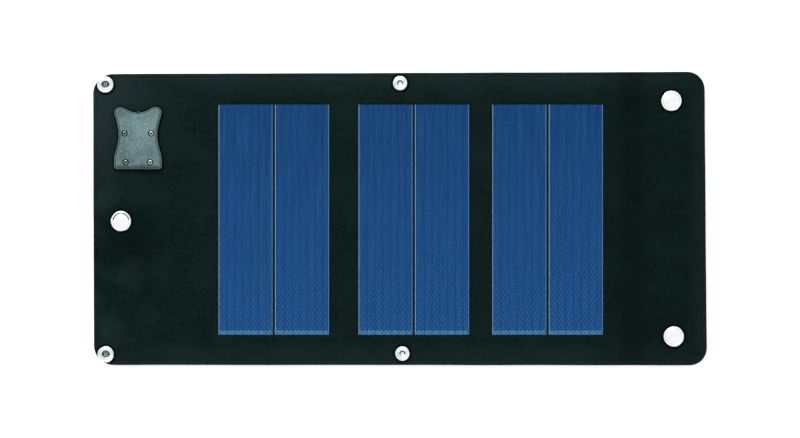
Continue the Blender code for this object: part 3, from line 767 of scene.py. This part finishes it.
def make_cell(node, body):
    """One strip: grooved blue top, busbars along both long edges and a contact band at the lower end."""
    (left, right), (bottom, top), (low, high) = limits(node)
    crest = high + CELL_SWELL
    margins = (OUTER_MARGIN, INNER_MARGIN) if node.endswith("a") else (INNER_MARGIN, OUTER_MARGIN)
    profile = strip_profile(right - left, margins)
    across = np.array([x for x, _ in profile])
    band = bottom + BAND_HEIGHT
    fixed = [bottom + END_MARGIN, band - 0.1 * MM, band, top - END_MARGIN]
    along = lines_between(bottom, top, fixed, CELL_STEP)
    last = len(along) - 1

    def points_at(i, j):
        raised = BUSBAR_DEPTH if along[j] < band - 0.05 * MM else 0.0
        end = 0.1 * MM if j in (0, last) else 0.0
        return (left + across[i], along[j]), crest + min(profile[i][1] + raised, 0.0) - end, low

    blue, silver, contacts, bare, scribed, faint_silver = range(6)
    materials = [CELL_BLUE, BUSBAR, CONTACT_BAND, CELL_EDGE, SCRIBE, FAINT_BUSBAR]

    def material_of(i, j):
        middle = (across[i] + across[i + 1]) / 2
        from_left, from_right = middle - margins[0], right - left - margins[1] - middle
        inward = min(from_left, from_right)
        if inward < 0 or BUSBAR_WIDTH < inward < BUSBAR_WIDTH + GROOVE_WIDTH or j in (0, last - 1):
            return bare
        if inward < BUSBAR_WIDTH:
            return silver if from_left < from_right else faint_silver
        if min(abs(middle - place) for place in SCRIBE_PLACES) < 0.1 * MM:
            return scribed
        return contacts if along[j + 1] <= band + 1e-6 else blue

    cell = sheet_mesh("cell_" + node[-2:], across, along, points_at, materials, material_of=material_of)
    belongs(cell, body, node)


def make_film(number):
    """Clear film over a group, with softly rounded edges and a very slight swell."""
    node = f"clear_film_section_{number}"
    (left, right), (bottom, top), (low, high) = limits(node)
    rims = (0.2 * MM, FILM_RIM)
    xs = lines_between(left, right, [left + d for d in rims] + [right - d for d in rims], FILM_STEP)
    ys = lines_between(bottom, top, [bottom + d for d in rims] + [top - d for d in rims], FILM_STEP)

    def points_at(i, j):
        x, y = xs[i], ys[j]
        rim = min(x - left, right - x, y - bottom, top - y)
        swell = FILM_SWELL * waver(x, y, 22, 25, number)
        fall = FILM_FALL * (1 - smooth(rim / FILM_RIM))
        return (x, y), high - fall + swell * smooth(rim / (10 * MM)), low

    sheet = sheet_mesh(f"film_{number}", xs, ys, points_at, [FILM])
    belongs(sheet, f"section_{number}", node)


# ---- Press fasteners, with their profiles in millimetres

POST_END = -3.7
RIM_WAVER = 0.03
CAP_STEP = 0.8
SEAT_DEPTH = 0.1 * MM
WIDE_CAP, WIDE_SOCKET = 7.5, 6.3
CORNER_CAP, CORNER_SOCKET = 5.5, 5.9
WIDE_RISE, CORNER_RISE = 2.6, 2.0
WIDE_MOUTH, CORNER_MOUTH = 3.1, 2.45


def turned(name, profile, place, metal, flipped=False, painted_shade_bands=(), over=-1.0, post=(), seed=0.0, steps=96):
    """A piece turned about its own axis: profile is (radius, height), from the top down the outer side.

    The shade bands hold (low, high) radii whose upward faces take the dark metal as painted shade where Y
    is over this share of the radius, and post the same for the post's end. The rim wavers a little, by the
    seed.
    """
    shape = bmesh.new()
    rings = []
    widest = max(radius for radius, _ in profile)
    for radius, height in profile:
        if radius <= 1e-6:
            rings.append([shape.verts.new((0, 0, height * MM))])
            continue
        ring = []
        for k in range(steps):
            a = 2 * math.pi * k / steps
            stray = noise.noise((1.6 * math.cos(a), 1.6 * math.sin(a), seed)) * (radius / widest) ** 4
            reach = radius * (1 + RIM_WAVER * stray) * MM
            ring.append(shape.verts.new((reach * math.cos(a), reach * math.sin(a), height * MM)))
        rings.append(ring)
    pairs = list(zip(rings, rings[1:]))
    if profile[0][0] > 0:
        pairs.append((rings[-1], rings[0]))
    for upper, lower in pairs:
        for k in range(steps):
            after = (k + 1) % steps
            if len(upper) == 1:
                shape.faces.new((upper[0], lower[k], lower[after]))
            elif len(lower) == 1:
                shape.faces.new((upper[k], lower[0], upper[after]))
            else:
                shape.faces.new((upper[k], lower[k], lower[after], upper[after]))
    mesh = mesh_of(name, shape)
    mesh.materials.append(metal)
    mesh.materials.append(PAINTED_SHADE_METAL)
    thing = finished(name, mesh, 50)
    for face in mesh.polygons:
        out = math.hypot(face.center.x, face.center.y) / MM
        # Painted shade: faces in the bands take the dark metal, on the side where Y is over the share.
        bands = post if face.center.z < 0.8 * POST_END * MM else painted_shade_bands if face.normal.z > -0.1 else ()
        painted_shade_here = post or face.center.y > over * out * MM
        if painted_shade_here and any(low < out < high for low, high in bands):
            face.material_index = 1
    thing.location = place
    if flipped:
        thing.rotation_euler = (math.pi, 0, 0)
    return thing


def cap_profile(radius, rise, post):
    """A cap with a rolled rim round a well for its face, and a post with a rolled end."""
    step = CAP_STEP * radius
    profile = [(0, rise - 0.75), (step - 0.05, rise - 0.75), (step, rise - 0.7), (step + 0.08, rise - 0.1)]
    profile += arc_points(radius - 1.15, rise - 1.15, 1.15, 88, -35, 10)
    profile += [(radius - 0.5, 0.25), (radius - 0.9, 0.0), (post, 0.0), (post, POST_END + 0.35)]
    profile += [(post + 0.55, POST_END + 0.25), (post + 0.5, POST_END), (post - 0.4, POST_END - 0.12)]
    profile += [(post - 0.8, POST_END + 0.4), (0, POST_END + 0.5)]
    return profile


def add_cap_face(name, radius, rise, place, body, flipped, gap=0.14):
    """Sets a flat face with a rounded edge in the cap's well, a little off centre."""
    side = -1 if flipped else 1
    seat = (place[0] + 0.2 * gap * MM, place[1] - 0.8 * gap * MM, place[2] + side * (rise - 0.76) * MM)
    edge = CAP_STEP * radius - gap
    profile = [(0, 0.5), (edge - 0.5, 0.48), (edge - 0.15, 0.36), (edge, 0.12), (edge, 0.0), (0, 0.0)]
    belongs(turned(name, profile, seat, NICKEL, flipped), body)


def socket_profile(radius, height, mouth, hole):
    """A socket ring: a rolled rim, a funnel to the mouth and a floor held by the post's rolled end."""
    profile = arc_points(mouth + 0.5, height - 0.5, 0.5, 180, 90, 6)
    for share, depth in ((0.76, 0.02), (0.78, 0.08), (0.8, 0.02)):
        profile.append((radius * share, height - depth))
    profile += arc_points(radius - 0.8, height - 0.8, 0.8, 90, -25, 8)
    profile += [(radius - 0.25, 0.5), (radius - 0.6, 0.0), (hole, 0.0), (hole, 0.6)]
    return profile + [(mouth + 0.6, 0.6), (mouth + 0.6, height - 1.2)]


def spring_wires(name, place, radius, height, body, flipped):
    """Two sprung wires in a socket's mouth, as bowed arcs on its two sides."""
    side = -1 if flipped else 1
    for k, start in enumerate((25, 205)):
        curve = bpy.data.curves.new(name, "CURVE")
        curve.dimensions = "3D"
        curve.bevel_depth = 0.28 * MM
        curve.bevel_resolution = 3
        curve.use_fill_caps = True
        spline = curve.splines.new("POLY")
        arc = arc_points(0, 0, radius * MM, start, start + 130, 16)
        spline.points.add(len(arc) - 1)
        for point, (x, y) in zip(spline.points, arc):
            point.co = (x, y, side * height * MM, 1)
        guide = linked(name, curve)
        mesh = evaluated_mesh(guide)
        bpy.data.objects.remove(guide, do_unlink=True)
        mesh.materials.clear()
        mesh.materials.append(DULL_NICKEL)
        wire = finished(f"{name}_{k + 1}", mesh, 50, weld=1e-7)
        wire.location = place
        belongs(wire, body)


def eyelet_profile():
    """A rolled flange round a hollow barrel that is closed at its far end."""
    floor = 0.3
    profile = [(0, floor), (1.3, floor), (1.35, floor + 0.03), (1.6, floor + 0.15), (1.7, 0.6)]
    profile += arc_points(2.55, 0.35, 0.85, 165, 90, 6)
    profile += [(3.6, 1.18), (3.7, 1.1), (3.8, 1.16)]
    profile += arc_points(4.55, 0.45, 0.7, 90, -40, 8)
    return profile + [(4.7, 0.0), (1.8, 0.0), (1.8, POST_END), (0, POST_END)]


def stud_profile():
    """A flanged stud whose head presses into a corner socket, hollow for the eyelet's barrel."""
    profile = [(2.1, 2.55), (2.3, 2.6)] + arc_points(2.25, 2.05, 0.5, 80, -60, 6)
    profile += [(2.42, 1.3), (2.6, 1.0), (3.4, 0.9), (4.6, 0.85)]
    profile += arc_points(5.0, 0.42, 0.4, 80, -60, 5)
    return profile + [(5.0, 0.0), (2.1, 0.0)]


def seats(node):
    """Where a fastener sits on the front face and on the back face."""
    spot = centre(node)
    return (spot.x, spot.y, FRONT - SEAT_DEPTH), (spot.x, spot.y, BACK)


def make_wide_fasteners():
    """Caps on the front, the left one with a crescent of painted shade beside its face, and sockets behind
    with painted shade in their throats.
    """
    for label, body in (("left", "left_flap"), ("upper", "right_flap"), ("lower", "right_flap")):
        on_front, on_back = seats("press_cap_" + label)
        well = (0.6 * CAP_STEP * WIDE_CAP, CAP_STEP * WIDE_CAP + 0.12)
        # Only the left cap's well takes painted shade, on its upper side.
        gap, crescent = (0.32, [well]) if label == "left" else (0.1, ())
        profile = cap_profile(WIDE_CAP, WIDE_RISE, 2.0)
        seed = 9 * on_front[1]
        cap = turned("wide_cap_" + label, profile, on_front, NICKEL, painted_shade_bands=crescent, over=0.1, seed=seed)
        belongs(cap, body, "press_cap_" + label)
        add_cap_face("wide_cap_face_" + label, WIDE_CAP, WIDE_RISE, on_front, body, False, gap)
        profile = socket_profile(WIDE_SOCKET, WIDE_RISE, WIDE_MOUTH, 2.2)
        socket = turned("wide_socket_" + label, profile, on_back, NICKEL, True, painted_shade_bands=[(0, 3.7)])
        belongs(socket, body, "press_socket_" + label)
        spring_wires("wide_spring_" + label, on_back, WIDE_MOUTH + 0.25, 1.7, body, True)


def make_corner_fasteners():
    """Sockets on the front with painted shade in their mouths, and caps behind with painted shade in their
    wells and on their posts' ends.
    """
    profile = socket_profile(CORNER_SOCKET, WIDE_RISE, CORNER_MOUTH, 1.85)
    # Radii of painted shade in the sockets' mouths, on the caps' wells and on the posts' ends.
    rings = [(0, 1.0), (1.7, 3.0)]
    well = (0.5 * CAP_STEP * CORNER_CAP, CAP_STEP * CORNER_CAP)
    post = [(0, 0.6), (1.05, 2.2)]
    for label in ("upper", "lower"):
        on_front, on_back = seats("corner_socket_" + label)
        name, seed = "front_socket_" + label, 9 * on_front[1]
        socket = turned(name, profile, on_front, NICKEL_PAINTED_REFLECTIONS, painted_shade_bands=rings, over=-0.35, seed=seed)
        belongs(socket, "left_flap", "corner_socket_" + label)
        spring_wires("front_spring_" + label, on_front, CORNER_MOUTH - 0.3, 1.55, "left_flap", False)
        shape = cap_profile(CORNER_CAP, CORNER_RISE, 1.6)
        cap = turned("back_cap_" + label, shape, on_back, NICKEL, True, painted_shade_bands=[well], post=post)
        belongs(cap, "left_flap", "corner_cap_" + label)
        add_cap_face("back_cap_face_" + label, CORNER_CAP, CORNER_RISE, on_back, "left_flap", True)


def make_middle_fasteners():
    """Eyelets on the front, each holding a stud behind, with painted shadow on the upper side of each
    eyelet's hole.
    """
    for label in ("upper", "lower"):
        on_front, on_back = seats("eyelet_" + label)
        # Painted shadow on the upper side of the eyelet's hole.
        wear_and_shade = {"painted_shade_bands": [(1.05, 2.15)], "over": -0.25, "seed": 9 * on_front[1]}
        eyelet = turned("rolled_eyelet_" + label, eyelet_profile(), on_front, NICKEL_PAINTED_REFLECTIONS, **wear_and_shade)
        belongs(eyelet, "section_2", "eyelet_" + label)
        stud = turned("back_stud_" + label, stud_profile(), on_back, NICKEL, True)
        belongs(stud, "section_2", "stud_" + label)


# ---- Junction box

BOX_HALF_WIDTH = 17.6 * MM
BOX_WAIST = 3.3 * MM
WAIST_POWER = 0.6
_, (BOX_BOTTOM, BOX_TOP), (_, BOX_CREST) = limits("junction_cover")
BOX_SCALLOP = 4.0 * MM
SCALLOP_POWER = 1.4
HORN_RADIUS = 4.4 * MM
FOOT_RADIUS = 2.4 * MM
FLARE = 8.8 * MM
BOSS_RADIUS = 2.8 * MM
COUNTERBORE = (2.2 * MM, 2.45 * MM)
HOLE_RADIUS = 1.4 * MM
MOUTH_RADIUS = 2.3 * MM
SCREW_SPOTS = [centre(f"junction_screw_{k}") for k in (1, 2, 3, 4)]
# In millimetres: the box's wall, the height of a screw's head, and an arm of its recess.
WALL = 1.5
SCREW_HEAD = 0.95
RECESS = (2.4, 1.0)
RECESS_TAPER = 0.7


def box_outline(inset):
    """The waisted outline with two horns, counter-clockwise, moved in by inset."""
    w = BOX_HALF_WIDTH
    horn, side_top, flare_top = w - HORN_RADIUS, BOX_TOP - HORN_RADIUS, BOX_BOTTOM + FLARE
    right = arc_points(w - FOOT_RADIUS, BOX_BOTTOM + FOOT_RADIUS, FOOT_RADIUS, -90, 0, 8)
    for k in range(31):
        u = k / 30
        pull = BOX_WAIST * ((1 - math.cos(2 * math.pi * u)) / 2) ** WAIST_POWER
        right.append((w - pull, flare_top + (side_top - flare_top) * u))
    right += arc_points(horn, side_top, HORN_RADIUS, 0, 90, 12)[1:]
    for k in range(1, 17):
        u = 1 - k / 16
        rise = ((1 - math.cos(math.pi * u)) / 2) ** SCALLOP_POWER
        right.append((horn * u, BOX_TOP - BOX_SCALLOP * (1 - rise)))
    outline = right + [(-x, y) for x, y in reversed(right[:-1])]
    moved = []
    for k, (x, y) in enumerate(outline):
        before, after = outline[k - 1], outline[(k + 1) % len(outline)]
        along = Vector((after[0] - before[0], after[1] - before[1])).normalized()
        moved.append((x - inset * along.y, y + inset * along.x))
    return moved


def ringed(name, levels):
    """A closed solid from rings of the box's outline.

    levels are (inset in millimetres, height, material number of the faces above), from the foot up.
    """
    shape = bmesh.new()
    rings = []
    for inset, height, _ in levels:
        rings.append([shape.verts.new((x + BOX.x, y, height)) for x, y in box_outline(inset * MM)])
    count = len(rings[0])
    for (_, _, band), lower, upper in zip(levels, rings, rings[1:]):
        for k in range(count):
            after = (k + 1) % count
            face = shape.faces.new((lower[k], lower[after], upper[after], upper[k]))
            face.material_index = band
    shape.faces.new(list(reversed(rings[0])))
    shape.faces.new(rings[-1])
    bmesh.ops.recalc_face_normals(shape, faces=shape.faces)
    return linked(name, mesh_of(name, shape))


def rod(name, spot, radii, low, high, steps=48):
    """An upright cylinder or cone for cutting, with its lower and upper radius."""
    shape = bmesh.new()
    sizes = {"radius1": radii[0], "radius2": radii[-1], "depth": high - low}
    bmesh.ops.create_cone(shape, cap_ends=True, segments=steps, **sizes)
    bmesh.ops.translate(shape, vec=(0, 0, (low + high) / 2), verts=shape.verts)
    thing = linked(name, mesh_of(name, shape))
    thing.location = (spot[0], spot[1], 0)
    return thing


def apply_cuts(thing, cutters):
    """Cuts the cutters out of a piece, makes the result its mesh and removes them."""
    for cutter in cutters:
        boolean = thing.modifiers.new("cut", "BOOLEAN")
        boolean.operation = "DIFFERENCE"
        boolean.solver = "EXACT"
        boolean.object = cutter
    mesh = evaluated_mesh(thing)
    thing.modifiers.clear()
    thing.data = mesh
    for cutter in cutters:
        bpy.data.objects.remove(cutter, do_unlink=True)


def shade(thing, materials, sharp_degrees=35):
    """Gives a piece its materials, in the order of its faces' numbers."""
    mesh = thing.data
    numbers = np.zeros(len(mesh.polygons), int)
    mesh.polygons.foreach_get("material_index", numbers)
    mesh.materials.clear()
    for material in materials:
        mesh.materials.append(material)
    mesh.polygons.foreach_set("material_index", numbers)
    shade_smoothly(mesh, sharp_degrees)


def make_box_cover():
    """The moulded shell: drafted sides, a rounded shoulder, a sloping rim and a flat top."""
    foot, crest = FRONT - 0.25 * MM, BOX_CREST
    top, rim, shoulder, edge, skirt = range(5)
    # The skirt stands 0.8 mm out past the box's foot in near-black: a painted contact shadow.
    levels = [(inset, foot + up * MM, skirt) for inset, up in ((-0.8, 0), (-0.7, 0.6), (0.05, 0.8))]
    for inset, down, band in (
        (0.15, 2.4, skirt),
        (0.3, 1.9, shoulder),
        (0.55, 1.5, shoulder),
        (1.0, 1.2, rim),
        (1.55, 0.95, rim),
        (1.85, 0.8, edge),
        (2.0, 0.5, edge),
        (2.15, 0.16, edge),
        (2.35, 0.03, top),
        (2.8, 0, top),
    ):
        levels.append((inset, crest - down * MM, band))
    cover = ringed("box_cover", levels)
    cavity = ringed("box_cavity", [(WALL, foot - 1 * MM, 0), (WALL, crest - 1.15 * MM, 0)])
    apply_cuts(cavity, [rod("boss", spot, (BOSS_RADIUS,), 0, 20 * MM) for spot in SCREW_SPOTS])
    cutters = [cavity]
    for spot in SCREW_SPOTS:
        cutters.append(rod("counterbore", spot, COUNTERBORE, crest - 1.3 * MM, crest + 1 * MM))
        cutters.append(rod("hole", spot, (HOLE_RADIUS,), 0, crest - 0.5 * MM, 32))
    inlet = centre("dc_inlet_shell")
    mouth = rod("mouth", inlet, (MOUTH_RADIUS,), -4 * MM, 4 * MM)
    mouth.location = (inlet.x, limits("dc_inlet_shell")[1][1], inlet.z)
    mouth.rotation_euler.x = math.pi / 2
    cutters.append(mouth)
    apply_cuts(cover, cutters)
    # The rim and shoulder bands take painted shade, and the top edge band takes a painted highlight.
    shade(cover, [MOULDING, MOULDING_RIM_PAINTED_SHADE, MOULDING_SHOULDER_PAINTED_SHADE, MOULDING_EDGE_PAINTED_HIGHLIGHT, PAINTED_SHADE_BLACK])
    belongs(cover, "left_flap", "junction_cover")


def make_box_back_plate():
    """The moulded plate behind the flap, with a rounded edge and four holes for the screws' ends."""
    low, high = limits("junction_back_plate")[2]
    levels = [(1.6, low, 0), (1.25, low + 0.08 * MM, 0), (1.05, low + 0.3 * MM, 0)]
    plate = ringed("box_back_plate", levels + [(1.0, high + 0.15 * MM, 0)])
    apply_cuts(plate, [rod("hole", spot, (HOLE_RADIUS,), 0, 5 * MM, 32) for spot in SCREW_SPOTS])
    shade(plate, [BACK_MOULDING])
    belongs(plate, "left_flap", "junction_back_plate")


def slot_cutter(place, turn):
    """One arm of a cross recess, narrower at its foot."""
    length, width = RECESS
    shape = bmesh.new()
    for vertex in bmesh.ops.create_cube(shape, size=1)["verts"]:
        taper = 1.0 if vertex.co.z > 0 else RECESS_TAPER
        vertex.co = Vector((vertex.co.x * length * taper, vertex.co.y * width * taper, vertex.co.z)) * MM
    bmesh.ops.rotate(shape, verts=shape.verts, matrix=Matrix.Rotation(turn, 3, "Z"))
    cross = linked("recess", mesh_of("recess", shape))
    cross.location = place
    return cross


def make_screws():
    """Pan heads with a cross recess, each on a washer in its counterbore; the recess and the washer are
    near-black as painted shade.
    """
    for k, spot in enumerate(SCREW_SPOTS, 1):
        low, high = limits(f"junction_screw_{k}")[2]
        seat = high - SCREW_HEAD * MM
        tip = (low - seat) / MM
        profile = [(0, SCREW_HEAD), (0.7, 0.94), (1.1, 0.88)] + arc_points(1.13, 0.4, 0.45, 75, 0, 5)
        profile += [(1.6, 0.3), (1.9, 0.32), (2.18, 0.22), (2.2, 0.0)]
        profile += [(1.1, 0.0), (1.1, tip + 0.5), (0.7, tip), (0, tip)]
        steel = DULL_STEEL if spot.x < BOX.x else STEEL
        screw = turned(f"box_screw_{k}", profile, (spot.x, spot.y, seat), steel, steps=48)
        place, turn = (spot.x, spot.y, high - 0.1 * MM), 0.3 + 0.7 * k
        apply_cuts(screw, [slot_cutter(place, turn), slot_cutter(place, turn + math.pi / 2)])
        # Painted shade: near-black in the cross recess and on the washer round the head.
        for face in screw.data.polygons:
            outward = math.hypot(face.center.x, face.center.y)
            recessed = outward < 1.1 * MM and 0.2 * MM < face.center.z < 0.8 * MM
            washer = outward > 1.56 * MM and face.center.z > 0
            face.material_index = 1 if recessed or washer else 0
        shade(screw, [steel, PAINTED_SHADE_BLACK], 40)
        belongs(screw, "left_flap", f"junction_screw_{k}")


# ---- CAD nodes that stay, with finished materials


def dress_cad_nodes():
    looks = {f"backing_board_section_{number}": LAMINATE for number in SECTIONS}
    looks |= {"flat_cable_" + name: AMBER for name in ("flap", "left", "middle", "right")}
    looks |= {"circuit_board": GREEN_BOARD, "dc_inlet_pin": DULL_NICKEL}
    looks |= {"blocking_diode": BLACK_PLASTIC, "dc_inlet_shell": BLACK_PLASTIC}
    for node, material in looks.items():
        mesh = frame["nodes"][node].data
        mesh.materials.clear()
        mesh.materials.append(material)


# ---- Floor, light and camera

FLOOR_SIZE = 3.0
LAMP_PLACE = (-0.35, 1.1, 1.2)
LAMP_SIZE = (0.9, 0.5)
LAMP_POWER = 14
PANEL_SHARE = 0.765
CAMERA_SHIFT = 0.36 * MM
LENS = 280.0
SENSOR = 36.0


def make_stage():
    """A white floor that the panel lies on."""
    shape = bmesh.new()
    bmesh.ops.create_grid(shape, x_segments=2, y_segments=2, size=FLOOR_SIZE)
    mesh = mesh_of("floor", shape)
    mesh.materials.append(floor_white())
    linked("floor", mesh)


def make_light():
    """Even white surroundings, with a large soft lamp beyond the far edge."""
    world = bpy.data.worlds.new("studio")
    world.use_nodes = True
    background = world.node_tree.nodes["Background"]
    background.inputs["Color"].default_value = (1.0, 1.0, 1.0, 1.0)
    background.inputs["Strength"].default_value = 1.0
    bpy.context.scene.world = world
    data = bpy.data.lights.new("key", "AREA")
    data.shape = "RECTANGLE"
    data.size, data.size_y = LAMP_SIZE
    data.energy = LAMP_POWER
    lamp = linked("key", data)
    lamp.location = LAMP_PLACE
    lamp.rotation_euler = (-Vector(LAMP_PLACE)).to_track_quat("-Z", "Y").to_euler()


def make_camera():
    """Straight above the panel, with +Y up. The panel takes its share of the picture's width."""
    seen = (RIGHT_END - LEFT_END) / PANEL_SHARE
    data = bpy.data.cameras.new("camera")
    data.lens = LENS
    data.sensor_width = SENSOR
    camera = linked("camera", data)
    camera.location = (CAMERA_SHIFT, 0, FRONT + seen * LENS / SENSOR)
    bpy.context.scene.camera = camera
    bpy.context.scene.view_settings.view_transform = "Standard"


make_stage()
make_light()
make_camera()
make_panel_fabric()
for number in SECTIONS:
    for letter in "ab":
        make_cell(f"solar_cell_{number}{letter}", f"section_{number}")
    make_film(number)
make_wide_fasteners()
make_corner_fasteners()
make_middle_fasteners()
make_box_cover()
make_box_back_plate()
make_screws()
dress_cad_nodes()
